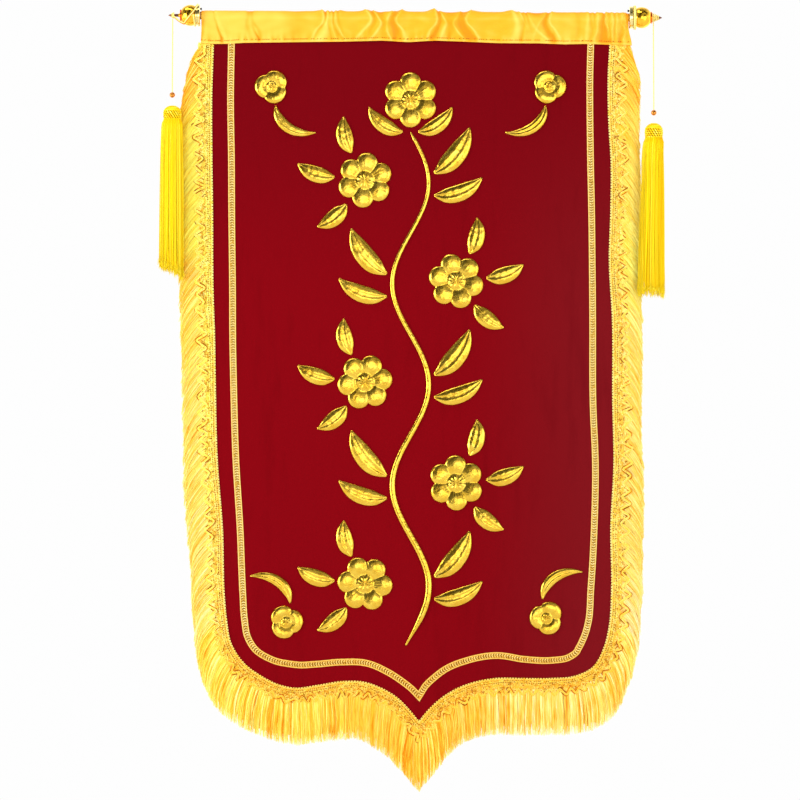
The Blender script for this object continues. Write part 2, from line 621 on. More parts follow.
def sleeveGrid():
    x = np.linspace(*sleeve["ends"], sleeve["columns"] + 1)
    rise, low = rodHeight(x), -hemDrop(x)
    y, z, outY, outZ, level = sleeveRows(x, rise, low)
    wide = np.broadcast_to(x, y.shape)
    share = (wide - wide[0, 0]) / (wide[0, -1] - wide[0, 0])
    lowness = ease((-z - sleeve["collar"]) / (hemDrop(wide) - sleeve["collar"]))
    flare = (sum(by * np.maximum(0, 1 - at * 12) for by, at in zip(sleeve["flare"], (share, 1 - share)))
             * lowness)
    front = (np.arange(len(y)) <= sleeve["frontRows"] + sleeve["topRows"] // 2)[:, None]
    relief, pale = satinRelief(wide, z, level, ease((z - rise + 5) / 9) * (level > 0))
    fromHem = (z - low) * front + 99 * (1 - front)
    hem, crease = bell((fromHem - 1.6) / 1.5), fromHem - 4.4
    puckers = np.interp(wide, np.arange(-334, 340, 4.6), np.random.default_rng(4).normal(0, 1, 147))
    puckers = puckers * np.exp(-np.abs(fromHem - 6) / 5.5)
    relief = (relief + 0.3 * puckers) * (level > 0) + 0.55 * hem - 0.35 * bell(crease / 1.1)
    pale = (pale * (0.35 + 0.65 * ease(fromHem / 5)) * front + 0.55 * hem - 0.2 * bell(crease / 1.2)
            + 0.3 * puckers)
    pale += (0.13 * np.sin(wide / 7.3 + 2.2 * np.sin(z / 8 + wide / 31)) * np.sin(wide / 19 - z / 5.5)
             * front)
    pale += (0.22 * bell((z - rise + 3.4) / 2.6) - 0.4 * ease((z - rise - 0.5) / 6)) * front
    middle = np.stack([wide + flare, y + outY * relief, z + outZ * relief], -1)
    out = np.stack([0 * y, outY, outZ], -1) * sleeve["thick"] / 2
    tone = rampOf(unitRange(0.667 + np.where(pale < 0, 0.667, 0.333) * pale), satinHues)
    wash = np.interp(wide, *satinPaler) * unitRange(1 + pale * 1.3)
    return (middle + out) * mm, (middle - out) * mm, tone + (satinHues[-1] - tone) * wash[..., None]


stitches = {"row": 3, "reach": 326, "pitch": 3.4, "kept": 0.8, "half": 1.1, "radius": 0.36,
            "colour": paint(128, 80, 8)}


def stitchForm(cloth):  # short slanting stitches along the hem, a few of them missing
    chance = np.random.default_rng(5)
    x = np.arange(-stitches["reach"], stitches["reach"], stitches["pitch"])
    x = (x + chance.uniform(-0.4, 0.4, len(x)))[chance.uniform(size=len(x)) < stitches["kept"]]
    columns = np.linspace(*sleeve["ends"], sleeve["columns"] + 1)
    at = np.interp(x, columns, np.arange(len(columns))).round().astype(int)
    run = np.linspace(-1, 1, 5)
    stitch = np.stack([run * stitches["half"], -0.5 * (1 - run**2) + 0.05, 0.5 * run], -1) * mm
    paths = cloth[stitches["row"], at][:, None] + stitch[None]
    return tubes(paths, stitches["radius"] * mm, 4, tints=stitches["colour"])


outer, inner, satinTint = sleeveGrid()
satin = addPiece("satinSleeve", closedSheet(outer, inner, satinTint), goldSatin, "rod_sleeve")
hemStitches = addPiece("hemStitches", stitchForm(outer), stitchThread)
print("satin sleeve made")


# trims are a deeper gold along the lower edge and a yellower one on the left
def trimPiece(name, form, finish, node):
    verts, faces, tints = form
    low = ease((-verts[:, 2:] / mm - 935) / 55)
    left = ease((-verts[:, :1] / mm - 305) / 8) * (1 - low)
    tints = tints * (1 - low * np.array([0.0, 0.13, 0.42]) + left * np.array([0.0, 0.1, 0.04]))
    return addPiece(name, (verts, faces, tints), finish, node, smooth=False)


# Inset braid

braid = {"width": 10.2, "back": 0.85, "front": 2.0, "pitch": 3.9, "join": 166.0, "stitch": 0.85}
braidHues = paints((126, 82, 8), (214, 168, 54), (232, 198, 106), (255, 250, 186))
braidSection = (  # share of the half width, height and tone
    (-1.0, -0.35, 0.4), (-0.95, 0.1, 0.64), (-0.8, 0.36, 0.76), (-0.68, 0.12, 0.6), (-0.6, -0.2, 0.34),
    (0.0, -0.1, 0.4), (0.6, -0.2, 0.34), (0.68, 0.12, 0.6), (0.8, 0.36, 0.76), (0.95, 0.1, 0.64),
    (1.0, -0.35, 0.4),
)
# start, lift, bow, tone and its spread
braidStitches = ((-0.7, 0.0, 0.35, 0.96, 0.16), (1.25, -0.15, 0.0, 0.02, 0.12))


def braidPath(step):
    halves = []
    for edge, side in bothEdges:
        inward = edge[:, :2] - outward(edge, side) * edge[:, 2:3]
        tip = edge[-1, :2] - np.array([0, edge[-1, 2]])
        halves.append(np.vstack([inward[side * (inward[:, 0] - tip[0]) > 9], tip]))
    path = np.vstack([halves[0], halves[1][-2::-1]])
    for end in (0, -1):
        path[end, 1] = hemDrop(path[end, 0]) - 4
    pointed = int(np.argmax(path[:, 1]))
    path = np.vstack([evenly(path[: pointed + 1], step), evenly(path[pointed:], step)[1:]])
    square = leftOf(unit(np.diff(path, axis=0)))
    before, behind = np.vstack([square[:1], square]), np.vstack([square, square[-1:]])
    return path, (before + behind) / (1 + (before * behind).sum(axis=1))[:, None]


def braidJoin(path):  # where the two ends of the braid overlap
    return bell((path[:, 0] - braid["join"]) / 5) * (path[:, 1] > 940) * 0.7


def braidParts():
    path, mitre = braidPath(3.0)
    across, crown, tone = np.transpose(braidSection)
    strip = path[:, None] + mitre[:, None] * across[None, :, None] * braid["width"] / 2
    lift = braid["front"] + crown[None] + braidJoin(path)[:, None]
    ribs = 0.08 * np.sin(np.arange(len(path)) * 2.4)[:, None]
    tints = rampOf(unitRange(tone[None] + ribs), braidHues)
    parts = [closedSheet(onCloth(strip, lift), onCloth(strip, braid["back"]), tints, braidHues[1])]
    finePath, fineMitre = braidPath(braid["pitch"] / 2)
    middles, square = finePath[::2], unit(fineMitre[::2])
    rise = braid["front"] + 0.25 + braidJoin(middles)
    chance = np.random.default_rng(8)
    t = np.linspace(0, 1, 3)
    # slanting strokes, then the dark thread between them
    for start, lift, bow, tone, toneSpread in braidStitches:
        for way in (-1, 1):
            place = (middles[:, None] + square[:, None] * (way * (0.2 + 2.5 * t))[None, :, None]
                     - leftOf(square)[:, None] * (start + 1.7 * t)[None, :, None])
            points = onCloth(place, rise[:, None] + lift + bow * np.sin(math.pi * t)[None])
            tones = unitRange(chance.normal(tone, toneSpread, len(middles)))
            parts.append(tubes(points, np.array([0.6, 1.0, 0.6]) * braid["stitch"] * mm, 3,
                               tints=rampOf(tones, braidHues)))
    return parts


insetBraid = trimPiece("insetBraid", joined(braidParts()), braidSatin, "inset_braid")
print("braid made")


# Gimp heading of the fringe

gimp = {"rows": (3.9, 7.1), "rowRadius": 1.2, "rowLift": 2.7, "picot": 4.3, "sAt": 19.0,
        "sAmplitude": 7.6, "sPeriod": 23.0, "sLift": 4.2, "baseOuter": 22.0, "back": 0.9, "front": 2.1,
        "curls": 3300, "flecks": 1300}
gimpHues = paints((206, 150, 24), (246, 212, 66), (252, 230, 100), (255, 245, 156))
threadShades = paints((134, 80, 4), (196, 116, 12), (224, 150, 26))


def tucked(place, lift):  # on the cloth, and going in under the sleeve's hem at the top
    return onCloth(place, gimp["back"] + (lift - gimp["back"]) * belowHem(place))


def threads(place, radii, sides, lift, tones, hues):
    return tubes(tucked(place, lift), radii * mm, sides, tints=rampOf(unitRange(tones), hues))


def ropeAround(distance, seed):  # a twisted cord beside the edge
    path = aroundEdge(distance, 1.5)[0]
    chance = np.random.default_rng(seed)
    length = runLength(path)
    knots = np.cos(fullTurn * length / 3.0 + chance.normal(0, 0.35, len(length)))
    lift = gimp["rowLift"] + 0.3 * knots + chance.normal(0, 0.08, len(path))
    tones = 0.66 + 0.3 * knots + chance.normal(0, 0.14, len(path))
    return threads(path[None], (gimp["rowRadius"] * (1 + 0.2 * knots))[None], 4, lift, tones[None],
                   gimpHues)


def gimpBase():
    inner, outer = (inPoints(evenly(aroundEdge(d, 2.7)[0], 2.7), 721) for d in (-0.3, gimp["baseOuter"]))
    share = np.linspace(0, 1, 4)[None, :, None]
    grid = inner[:, None] * (1 - share) + outer[:, None] * share
    return closedSheet(tucked(grid, gimp["front"]), tucked(grid, gimp["back"]), paint(248, 210, 84))


def picots():
    path, along, out = aroundEdge(0.2, gimp["picot"])
    turn = np.linspace(0, math.pi, 4)
    place = (path[:, None] - along[:, None] * np.cos(turn)[None, :, None]
             - out[:, None] * (3.0 * np.sin(turn) - 0.7)[None, :, None])
    tones = np.random.default_rng(3).normal(0.93, 0.12, len(path))
    return threads(place, 0.85, 3, gimp["front"] + 0.6 * np.sin(turn)[None], tones, gimpHues)


def curls(count):  # loose little loops of thread all over the heading
    path, along, out = aroundEdge(5.5, 1.0)
    chance = np.random.default_rng(11)
    at = chance.integers(2, len(path) - 2, count)
    centre = path[at] + out[at] * chance.uniform(-2.6, 15.8, count)[:, None]
    turn = chance.uniform(0, fullTurn, count)[:, None] + np.linspace(0, 3.6, 4)[None]
    size = chance.uniform(1.1, 2.3, count)[:, None]
    place = centre[:, None] + np.stack([size * np.cos(turn), size * np.sin(turn)], -1)
    lift = chance.uniform(2.7, 3.9, count)[:, None]
    return threads(place, 0.68, 3, lift, np.clip(chance.normal(0.82, 0.2, count), 0.2, 1), gimpHues)


def dashes(place, along, out, angle, half, thick, lift, tones):
    way = along * np.cos(angle)[:, None] + out * np.sin(angle)[:, None]
    line = place[:, None] + way[:, None] * (half[:, None] * np.linspace(-1, 1, 3)[None])[..., None]
    return threads(line, np.array([0.45, 1.0, 0.45])[None] * thick[:, None], 3, lift, tones, threadShades)


def flecks(count):  # dark threads that show between the loops of the heading
    chance = np.random.default_rng(17)
    parts = []
    for distance, pitch, thick in ((2.6, 3.1, 0.85), (5.8, 3.6, 0.72)):  # two rows of them along the edge
        path, along, out = aroundEdge(distance, pitch)
        every = len(path)
        angle = np.where(np.arange(every) % 2 == 0, 0.7, -0.7) + chance.normal(0, 0.3, every)
        place = path + out * chance.normal(0, 0.3, every)[:, None]
        keep = chance.uniform(size=every) < 0.86
        half = chance.uniform(0.8, 1.3, every)
        parts.append(dashes(place[keep], along[keep], out[keep], angle[keep], half[keep],
                            np.full(keep.sum(), thick), 4.1, chance.normal(0.2, 0.25, every)[keep]))
    path, along, out = aroundEdge(5.5, 1.0)
    at = chance.integers(3, len(path) - 3, count)
    place = path[at] + out[at] * chance.uniform(1.0, 14.0, count)[:, None]
    angle = chance.choice([-0.8, 0.8, 1.4, 0.2, 0.0], count) + chance.normal(0, 0.25, count)
    half, thick = chance.uniform(0.7, 2.3, count), chance.uniform(0.5, 0.95, count)
    parts.append(dashes(place, along[at], out[at], angle, half, thick, 4.3,
                        chance.normal(0.55, 0.3, count)))
    return parts


def softened(field):
    kernel = np.hanning(15) / np.hanning(15).sum()
    return np.column_stack([np.convolve(np.pad(column, 7, "edge"), kernel, "valid") for column in field.T])


def sCord():
    path, along, out = aroundEdge(gimp["sAt"], 0.9)
    length = runLength(path)
    full = length[-1]
    chance = np.random.default_rng(29)
    pace = drifting(chance.uniform, 0.72, 1.34, length, full + 40, 11.0)
    low = ease((path[:, 1] - 930) / 40)
    phase = np.cumsum(fullTurn * pace * np.gradient(length) / (gimp["sPeriod"] * (1 - 0.3 * low)))
    ends = ease(length / 30) * ease((full - length) / 30)
    swing = drifting(chance.uniform, 0.6, 1.16, length, full + 40, 11.0) * gimp["sAmplitude"]
    swing = swing * (0.1 + 0.9 * ends) * (1 - 0.38 * low)
    stray = drifting(chance.normal, 0, 1, length, (full + 40) / 2, 5.5) * (0.3 + 1.2 * low) * ends
    bent = np.arcsin(0.95 * np.sin(phase)) / math.asin(0.95)  # corners that are nearly sharp
    place = evenly(path + softened(out) * (swing * bent + stray - 1.5 * low - 9 * (1 - ends))[:, None], 1.6)
    length, square = runLength(place), headings(place)[1]
    patchy = lambda step, low, high: drifting(chance.uniform, low, high, length, length[-1] + step, step)
    parts = []
    for aside, lift, tone in ((0.95, 0.0, 0.74), (-0.95, 0.1, 0.82)):  # the pale double cord
        knots = np.sin(fullTurn * length / 3.3 + aside)
        tones = tone + 0.16 * knots + patchy(5, -0.3, 0.1)
        parts.append(threads((place + square * aside)[None], (0.8 * (1 + 0.16 * knots))[None], 4,
                             gimp["sLift"] + lift + 0.2 * knots, tones[None], gimpHues))
    shown = ease(patchy(21, -0.5, 1.9))
    for aside in (2.1, -2.1):  # the dark core thread that shows in places along both of its sides
        most = unitRange(patchy(5.0, -1.5, 2.6)) * shown
        parts.append(threads((place + square * aside)[None], (0.15 + 0.85 * most)[None], 4,
                             gimp["sLift"] - 2.2 + 2.3 * most, patchy(5, 0.0, 1.0)[None], threadShades))
    return parts


ropes = [ropeAround(at, 40 + k) for k, at in enumerate(gimp["rows"])]
gimpParts = [gimpBase(), picots(), curls(gimp["curls"]), *flecks(gimp["flecks"]), *ropes]
gimpHeading = trimPiece("gimpHeading", joined(gimpParts), gimpSilk, "fringe_trim")
gimpScroll = trimPiece("gimpScroll", joined(sCord()), gimpSilk, "fringe_trim")
print("gimp heading made")


# Fringe

fringe = {"rootAt": 15.0, "outerAt": 26.0, "radius": 0.4, "stations": 6, "lock": 6.5, "strand": 1.8,
          "lift": 2.9, "cornerDrop": 929.0}
# The first threads of each side fan out from below the hem: where each starts and turns down, then where it
# ends
fringeFans = {
    -1: ((-324, 41, -326, 43, -4, 5), (-322, 41, -328, 45, -10, 12), (-320, 41.4, -332, 49, -14, 26),
         (-321, 42, -335, 50, -15, 44)),
    1: ((330, 43.4, 331, 45, 4, 22), (326, 43.4, 331, 47, 9, 32), (320, 43.5, 330, 49, 15, 42),
        (316, 44, 327, 50, 21, 48)),
}
tasselSets = (  # here, because the fringe lies behind the tassels
    {"side": "left", "way": -1, "turns": 3, "x": -372.2, "windingX": -372.2, "windingRadius": 5.0,
     "windingLength": 5.6, "bead": 121.4, "head": 138.3, "skirt": 159.0, "end": 394.0, "slant": 0.5,
     "swing": (-0.5, -1.2), "spread": (15.6, 16.6, 17.2), "reach": 24, "seed": 23},
    {"side": "right", "way": 1, "turns": 5, "x": 366.2, "windingX": 369.3, "windingRadius": 6.8,
     "windingLength": 9.0, "bead": 148.7, "head": 165.2, "skirt": 187.5, "end": 428.0, "slant": 0.1,
     "swing": (-1.2, -4.4), "spread": (15.2, 16.8, 19.4), "reach": 37, "seed": 29},
)
tasselLean = -10.0
fringeHues = {
    "side": paints((240, 146, 24), (249, 190, 54), (252, 212, 86), (253, 225, 116), (254, 236, 152)),
    "low": paints((250, 150, 14), (255, 196, 44), (255, 224, 84), (255, 240, 120), (255, 250, 165)),
}
# How the gold shifts along it: place, then factors of green and blue. The place is drop on the sides and x
# low down.
fringeDye = {
    "Left": ((60, 1.0, 0.8), (128, 0.86, 0.66), (170, 1, 1), (440, 1, 0.8), (500, 0.98, 0.74),
             (580, 1.05, 1.1), (930, 1.05, 1.2)),
    "Right": ((60, 0.83, 0.33), (100, 0.95, 0.6), (130, 0.83, 0.38), (215, 0.97, 0.6), (300, 1.03, 0.72),
              (390, 1.2, 0.93), (480, 1, 1), (850, 1, 1), (930, 1.06, 1.8)),
    "low": ((-246, 1.06, 1.2), (-123, 0.99, 0.96), (-61, 0.82, 0.58), (6, 1.04, 1.25), (92, 0.92, 1.0),
            (154, 1.04, 1.75), (280, 1.08, 2.0)),
}


def pushBack(x, drop):  # a tassel that hangs in front keeps the fringe behind it
    most = np.zeros_like(x)
    for tassel in tasselSets:
        foot = tassel["end"] + 60
        beside = ease((np.abs(x) - abs(tassel["x"]) + tassel["reach"]) / 27) * (x * tassel["x"] > 0)
        most = np.maximum(most, beside * ease((drop - tassel["bead"]) / 50) * ease((foot - drop) / 50))
    return 10 * most


def fringeStations(edge, side):  # root x and drop, turn x and drop, and the end from there
    out = outward(edge, side)
    columns = []
    for distance, mitred in ((fringe["rootAt"], 23.0), (fringe["outerAt"], 40.0)):
        path = edge[:, :2] + out * distance
        tip = edge[-1, :2] + np.array([0, mitred])
        path[-8:] = path[-8] + (tip - path[-8]) * np.linspace(0, 1, 8)[:, None]
        columns.append(path)
    return np.vstack([fringeFans[side], np.column_stack([*columns, edge[:, 3:5]])])


def fringeLines(root, tip, s, t):  # where threads run: out from the root, then over and down
    aside = 1 - (1 - t) ** np.interp(s, (0, 25, 90, 700, 850), (1.3, 1.4, 1.6, 1.7, 2.5))[:, None]
    share = np.stack([aside, t ** np.interp(s, (0, 90), (1.0, 0.97))[:, None]], -1)
    return root[:, None] + (tip - root)[:, None] * share


def fringeDepth(place, root, lift):
    y = (clothDepth(root[:, 0], root[:, 1])[:, None] - 0.7 - (lift - 0.7) * belowHem(place)
         + pushBack(place[..., 0], place[..., 1]))
    return np.stack([place[..., 0], y, -place[..., 1]], -1) * mm


def fringeCurtain(stations, first, tone, seed, hues):  # a thin matted layer behind the threads
    chance = np.random.default_rng(seed)
    length = runLength(stations[:, 2:4])
    s = np.linspace(0, length[-1], int(length[-1] / 1.9))
    at = lookUp(stations, length, s)
    t = np.broadcast_to(np.linspace(0.04, 1, 8), (len(s), 8))
    reach = np.clip(0.84 + chance.normal(0, 0.05, len(s)), 0.7, 0.93)[:, None]
    place = fringeLines(at[:, :2], at[:, 2:4] + at[:, 4:6], s + first, t * reach)
    flute = (0.5 * np.sin(s / 2.1 + 3 * np.sin(s / 17)) + chance.normal(0, 0.25, len(s)))[:, None] * t
    streak = drifting(chance.normal, 0, 0.16, s, length[-1] + 3, 2.6)
    tint = rampOf(unitRange(tone - 0.14 + streak[:, None] + 0.35 * flute), hues)
    return closedSheet(fringeDepth(place, at, 1.7 + flute), fringeDepth(place, at, 1.1 + flute), tint)


def fringeThreads(stations, first, density, tone, wave, clump, seed, hues):
    chance = np.random.default_rng(seed)
    length = runLength(stations[:, 2:4])
    count = int(length[-1] * density)
    s = np.sort(chance.uniform(0, length[-1], count))
    column = lambda values: values[:, None]

    # where the middle of a thread's lock or strand is, and a way to draw one value for each of them
    def groups(step):
        number = int(length[-1] / step * 1.4) + 3
        edges = np.cumsum(chance.uniform(0.5, 1.5, number)) * step
        group = np.clip(np.searchsorted(edges, s), 0, number - 1)
        return edges[group] - step / 2, lambda by: chance.normal(0, by, number)[group]

    middle, lockDraw = groups(fringe["lock"])
    strandDraw = groups(fringe["strand"])[1]
    gather = 1 - clump * np.clip(0.1 + lockDraw(0.07), 0, 0.25)
    tipAt = middle + (s - middle) * gather + lockDraw(0.5) + chance.normal(0, 0.7, count)
    root, end = (lookUp(stations, length, at) for at in (s, np.clip(tipAt, 0, length[-1])))
    stretch = (1.015 + np.clip(clump * lockDraw(0.018) + strandDraw(0.008), -0.07, 0.05)
               - chance.exponential(0.04, count))
    tip = end[:, 2:4] + end[:, 4:6] * column(stretch) + (end[:, 2:4] - end[:, 0:2]) * (column(stretch) - 1)
    start = root[:, 0:2] + (root[:, 2:4] - root[:, 0:2]) * column(chance.uniform(-0.1, 0.12, count))
    t = np.broadcast_to(np.linspace(0, 1, fringe["stations"]), (count, fringe["stations"]))
    place = fringeLines(start, tip, s + first, t)
    square = -headings(place)[1]
    ripple = lambda height, turns, phase: column(height) * np.sin(math.pi * turns * t + column(phase))
    curl = (ripple(wave * lockDraw(1.0), column(1.2 + np.abs(lockDraw(0.7))), lockDraw(1.5))
            + ripple(0.6 * strandDraw(1.0), 2.2, strandDraw(2.0))
            + ripple(0.7 * chance.normal(0, 1, count), 2, chance.uniform(0, 6, count)))
    place = place + square * (curl * t)[..., None]
    depth = column(chance.uniform(-0.4, 0.6, count)) + column(strandDraw(0.4)) + column(lockDraw(0.35)) * t
    points = fringeDepth(place, root, fringe["lift"] + np.clip(depth, -0.7, 2) * ease(t * 3 + 0.25))
    slow = drifting(chance.uniform, -0.06, 0.06, s, length[-1] + 60, 55)
    tones = (tone + slow + 0.06 * clump * lockDraw(1.0) + strandDraw(0.14) + chance.normal(0, 0.16, count)
             - 0.16 * (1 - ease((s + first - 40) / 90)))
    x, drop = place[..., 0], place[..., 1]
    tall = ease((drop - 110) / 40) * ease((400 - drop) / 50)  # where a tassel hangs close by and shades it
    beside = (0.24 * ease((-x - 347) / 4) - 0.32 * ease((np.abs(x) - 326) / 14)) * tall
    rim = ease((t - 0.55) * 3) * column(ease((110 - s - first) / 60))
    point = 0.2 * bell((x - 6) / 45)
    broken = 0.13 * np.sin(fullTurn * 1.7 * t + column(strandDraw(3.0))
                           + column(chance.normal(0, 0.6, count)))
    paler = broken - 0.1 * ease(t * 1.6) + 0.26 * ease((t - 0.75) * 4)
    tones = unitRange(column(tones) + paler - beside - 0.16 * rim - point)
    thin = fringe["radius"] * (1 - 0.5 * ease((t - 0.7) * 3.3)) * column(chance.uniform(0.85, 1.15, count))
    yellower = 1 + (tall * ease((-x - 326) / 14))[..., None] * np.array([0.0, 0.1, -0.46])
    return tubes(points, thin * mm, 3, column(chance.uniform(0, 2, count)), rampOf(tones, hues) * yellower)


fringeTones = {-1: (0.72, 0.53), 1: (0.82, 0.54)}  # down each side and along its lower edge
for (edge, side), word in zip(bothEdges, ("Left", "Right")):
    stations = fringeStations(edge, side)
    corner = int(np.argmax(stations[:, 1] > fringe["cornerDrop"]))
    sideTone, lowTone = fringeTones[side]
    for name, part, first, density, tone, wave, clump, seed in (
            ("fringe" + word, stations[: corner + 1], 0, 3.3, sideTone, 1.0, 0.4, 60 + side),
            ("fringeLow" + word, stations[corner:], 900, 5.4, lowTone, 0.6, 0.16, 70 + side)):
        hues = fringeHues["low" if first else "side"]
        loose = fringeThreads(part, first, density, tone, wave, clump, seed, hues)
        verts, faces, tints = joined([loose, fringeCurtain(part, first, tone, seed + 20, hues)])
        at = verts[:, 0] / mm if first else -verts[:, 2] / mm
        dye = np.array(fringeDye["low" if first else word])
        tints[:, 1:] *= lookUp(dye[:, 1:], dye[:, 0], at)
        addPiece(name, (verts, faces, tints), fringeSilk, "fringe_trim", smooth=False)
        print(name, "made:", len(loose[0]) // fringe["stations"] // 3, "threads")


# Padded foil appliques

pads = {"base": 0.85, "rim": 0.5, "height": 4.4}
vine = {"x": -7.0, "sway": 28.0, "top": 178.0, "foot": 966.0, "wave": 310.0, "width": 11.0, "reach": 70.0,
        "radius": 43.0, "petals": 6, "sprig": 27.0}
leafWidths = ((0.0, 0.22, 0.5, 0.78, 1.0), (0.16, 0.82, 1.0, 0.72, 0.10))
blossomSection = ((0.0, 0.16, 0.23, 0.30, 0.48, 0.68, 0.86, 0.95, 1.0),
                  (1.0, 0.97, 0.78, 0.52, 0.84, 0.95, 0.8, 0.5, 0.04))


def padFront(place, height):
    return onCloth(place, pads["base"] + pads["rim"] + height)


def addPad(name, node, front, back, faces):
    verts = np.concatenate([front.reshape(-1, 3), back.reshape(-1, 3)])
    piece = addPiece(name, (verts, faces, None), goldFoil, node)


def longPad(name, node, centre, halfWidth, across, height):  # along a centre line, height above the rim
    beside = headings(centre)[1] * halfWidth[:, None]
    place = centre[:, None] + beside[:, None] * across[None, :, None]
    rows, columns = place.shape[:2]
    index = gridOf(rows, columns)
    left, right = (np.arange(rows) * 2 + rows * columns + k for k in (0, 1))
    faces = [gridFaces(index), quads(left[:-1], left[1:], index[1:, 0], index[:-1, 0]),
             quads(index[:-1, -1], index[1:, -1], right[1:], right[:-1]),
             quads(right[:-1], right[1:], left[1:], left[:-1]),
             np.concatenate([index[0], right[:1], left[:1]])[None],
             np.concatenate([index[-1, ::-1], left[-1:], right[-1:]])[None]]
    addPad(name, node, padFront(place, np.maximum(height, 0.0)), onCloth(place[:, [0, -1]], pads["base"]),
           faces)


def leafPad(name, node, start, angle, length, width, bend):
    t = np.linspace(0, 1, 27)
    turn = np.radians(angle + bend * t)
    centre = np.column_stack([start[0] + length * t * np.cos(turn), start[1] - length * t * np.sin(turn)])
    share = through(t, *leafWidths)
    u = np.sin(np.linspace(-1, 1, 15) * math.pi / 2)
    dome = np.sqrt(unitRange(1 - np.abs(u) ** 2.2))[None]
    body = pads["height"] * (0.35 + 0.65 * share * ease(t * 7) * ease((1 - t) * 5))[:, None] * dome
    vein = 1.7 * bell(u / 0.16)[None] * (1 - t)[:, None] ** 0.3
    ribs = np.maximum(0, np.cos(fullTurn * (t[:, None] * 6.5 - 0.75 * np.abs(u)[None]))) ** 6
    longPad(name, node, centre, width / 2 * share, u, body - vein - 0.5 * ribs * (1 - u**4)[None])


# rings of places, with one face each for the middle and the back
def blossomPad(name, node, centre, radius, petals, turn):
    way = np.linspace(0, fullTurn, petals * 16, endpoint=False)[None]
    share = np.concatenate([np.linspace(0.02, 0.9, 16), [0.94, 0.975, 1.0]])[:, None]
    notch = 1 - np.abs(np.cos(petals * way / 2)) ** 0.7
    reach = radius * share * (1 - 0.24 * notch * share)
    place = np.stack([centre[0] + reach * np.cos(way + turn), centre[1] - reach * np.sin(way + turn)], -1)
    petal = ease((share - 0.27) / 0.1)
    rise = through(share, *blossomSection) * (1 - 0.5 * notch * petal)
    rays = 0.12 * petal * (0.5 - 0.5 * np.cos(petals * way)) * bell((share - 0.55) / 0.3)
    veins = 0.07 * petal * np.maximum(0, np.cos(petals * 5 * way)) ** 3 * (1 - share)
    eye = 0.13 * (1 - petal) * np.cos(way * 10) * np.sin(math.pi * unitRange(share / 0.27))
    height = pads["height"] * np.maximum(rise + rays * 0.3 - veins + eye, 0.0)
    index = gridOf(len(share) + 1, petals * 16)  # the last ring is the back's
    addPad(name, node, padFront(place, height), onCloth(place[-1], pads["base"]),
           [ringWalls(index), index[:1], index[-1:, ::-1]])


def vineX(drop):
    return vine["x"] + vine["sway"] * np.sin(fullTurn * (drop - vine["top"]) / vine["wave"])


def makeVine():
    t = np.linspace(0, 1, 260)
    drop = vine["top"] + (vine["foot"] - vine["top"]) * t
    half = (vine["width"] / 2 * (0.5 + 0.5 * t) * (1 - ease((t - 0.93) / 0.07) * 0.7)
            * (0.4 + 0.6 * ease(t * 60)))
    u = np.sin(np.linspace(-1, 1, 11) * math.pi / 2)
    rope = 0.12 * np.sin(fullTurn * drop[:, None] / 7 + 2.2 * u[None])
    height = (pads["height"] * 0.9 * (half / half.max())[:, None]
              * np.sqrt(unitRange(1 - np.abs(u) ** 2.6))[None] * (1 + rope))
    longPad("vineStem", "vine_stem", np.column_stack([vineX(drop), drop]), half, u, height)
    for i in range(5):
        side, peak, number = (-1 if i % 2 == 0 else 1), vine["top"] + vine["wave"] * (0.25 + 0.5 * i), i + 1
        centre = (vine["x"] + side * vine["reach"], peak - 4)
        blossomPad(f"blossom{number}", f"blossom_{number}", centre, vine["radius"], vine["petals"],
                   number * 0.4)
        out, rim = (0 if side > 0 else 180), vine["radius"] + 4
        for word, turn, length in (("up", 64, 56), ("middle", 6, 60), ("down", -52, 56)):
            way = math.radians(out + side * turn)
            start = (centre[0] + rim * math.cos(way), centre[1] - rim * math.sin(way))
            leafPad(f"leaf{number}{word.title()}", f"leaf_{number}_{word}", start, out + side * (turn - 8),
                    length, 26, side * 22)
        stem = vineX(peak) - side * (vine["width"] / 2 + 3)
        for word, lower, turn, bend, length, width in (("up", -15, -28, -24, 88, 31),
                                                       ("down", 19, 10, -30, 78, 27)):
            leafPad(f"leaf{number}Back{word.title()}", f"leaf_{number}_back_{word}", (stem, peak + lower),
                    180 - out + side * turn, length, width, side * bend)
    blossomPad("blossomTop", "blossom_top", (vine["x"], vine["top"] - 50), vine["radius"], vine["petals"],
               math.pi / 6)
    for word, side in (("left", -1), ("right", 1)):
        leafPad(f"leafTop{word.title()}", f"leaf_top_{word}", (vine["x"] + side * 12, vine["top"] - 1),
                90 - side * 88, 64, 24, side * 34)
    for word, side, height, x, drop in (("top_left", -1, 1, -220, 108), ("top_right", 1, 1, 206, 108),
                                        ("low_left", -1, -1, -198, 930), ("low_right", 1, -1, 202, 924)):
        title = word.title().replace("_", "")
        blossomPad(f"trefoil{title}", f"trefoil_{word}", (x, drop), vine["sprig"], 3,
                   math.pi / 2 + height * side * 0.6)
        leafPad(f"stalk{title}", f"stalk_{word}", (x - side * 6, drop + height * (vine["sprig"] + 2)),
                -90 * height, 74, 17, -side * 56)


makeVine()
print("foil appliques made")


# Finials

finials = (
    {"side": "left", "way": -1, "face": -329.9, "collar": 7.5, "spike": 17.5, "screwZ": 9.6},
    {"side": "right", "way": 1, "face": 328.9, "collar": 11.5, "spike": 15.0, "screwZ": 9.9},
)
ball = {"radius": 16.4, "neck": 14.5, "ring": 8.6, "collar": 17.2, "spike": 2.2, "socket": 6.3,
        "depth": 10.5}
